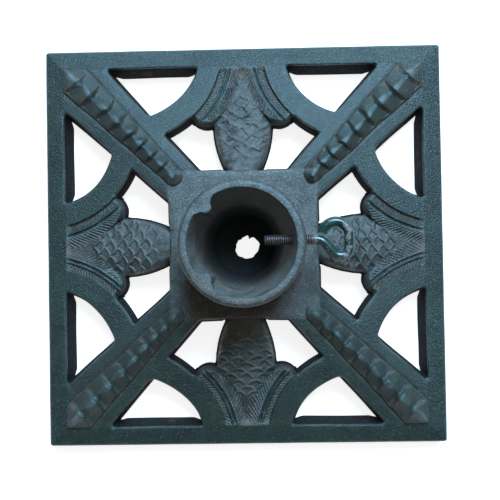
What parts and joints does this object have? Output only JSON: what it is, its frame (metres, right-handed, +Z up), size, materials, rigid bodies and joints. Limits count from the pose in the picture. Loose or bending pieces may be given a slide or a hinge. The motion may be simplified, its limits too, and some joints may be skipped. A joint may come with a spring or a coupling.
{
  "type": "flag pole stand",
  "caption": "Square openwork cast-iron stand for a flag pole: a low hipped base with cone and leaf ornament, bead ridges, a tapered socket and a clamping eye screw.",
  "frame": {"origin": "centre of the square base on the surface it stands on", "axes": "+Z up along the socket; +X towards the eye screw; +Y towards the base's back"},
  "size_m": [0.254, 0.254, 0.077],
  "materials": {
    "painted_casting": "dark green oil paint, worn and dusty, over rough cast iron",
    "painted_ridges": "dark green oil paint, worn lighter on the crests",
    "painted_ornament": "dark green oil paint with brown dust in the hollows",
    "painted_socket": "dark green oil paint on the rim, bare rusty iron inside",
    "bare_thread": "bare brown steel thread",
    "painted_rod": "green paint worn to primer on the crests"
  },
  "bodies": {
    "base": {"rail_back": "painted_casting", "rail_right": "painted_casting", "rail_front": "painted_casting", "rail_left": "painted_casting", "spoke_back_right": "painted_casting", "spoke_right_front": "painted_casting", "spoke_front_left": "painted_casting", "spoke_left_back": "painted_casting", "bead_ridge_back_right": "painted_ridges", "bead_ridge_right_front": "painted_ridges", "bead_ridge_front_left": "painted_ridges", "bead_ridge_left_back": "painted_ridges", "arch_back_right": "painted_casting", "arch_back_left": "painted_casting", "arch_right_front": "painted_casting", "arch_right_back": "painted_casting", "arch_front_left": "painted_casting", "arch_front_right": "painted_casting", "arch_left_back": "painted_casting", "arch_left_front": "painted_casting", "cone_back": "painted_ornament", "cone_right": "painted_ornament", "cone_front": "painted_ornament", "cone_left": "painted_ornament", "leaf_back_right": "painted_ornament", "leaf_back_left": "painted_ornament", "leaf_right_front": "painted_ornament", "leaf_right_back": "painted_ornament", "leaf_front_left": "painted_ornament", "leaf_front_right": "painted_ornament", "leaf_left_back": "painted_ornament", "leaf_left_front": "painted_ornament", "hub_plate": "painted_casting", "socket_cup": "painted_socket", "pole_rib_back": "painted_socket", "pole_rib_front": "painted_socket"},
    "screw_shank": {"screw_thread": "bare_thread"},
    "screw_handle": {"screw_eye": "painted_rod"}
  },
  "joints": [
    {"name": "screw_advance", "type": "slide", "parent": "base", "child": "screw_shank", "axis": [1, 0, 0], "range_m": [-0.00413, 0.01429]},
    {"name": "screw_turn", "type": "hinge", "parent": "screw_shank", "child": "screw_handle", "pos_m": [0.041, 0.0015, 0.063], "axis": [1, 0, 0], "range_deg": [-1170.1, 4050.1]}
  ],
  "couplings": [
    {"joint": "screw_turn", "follows": "screw_advance", "rad_per_m": 4947.4}
  ]
}
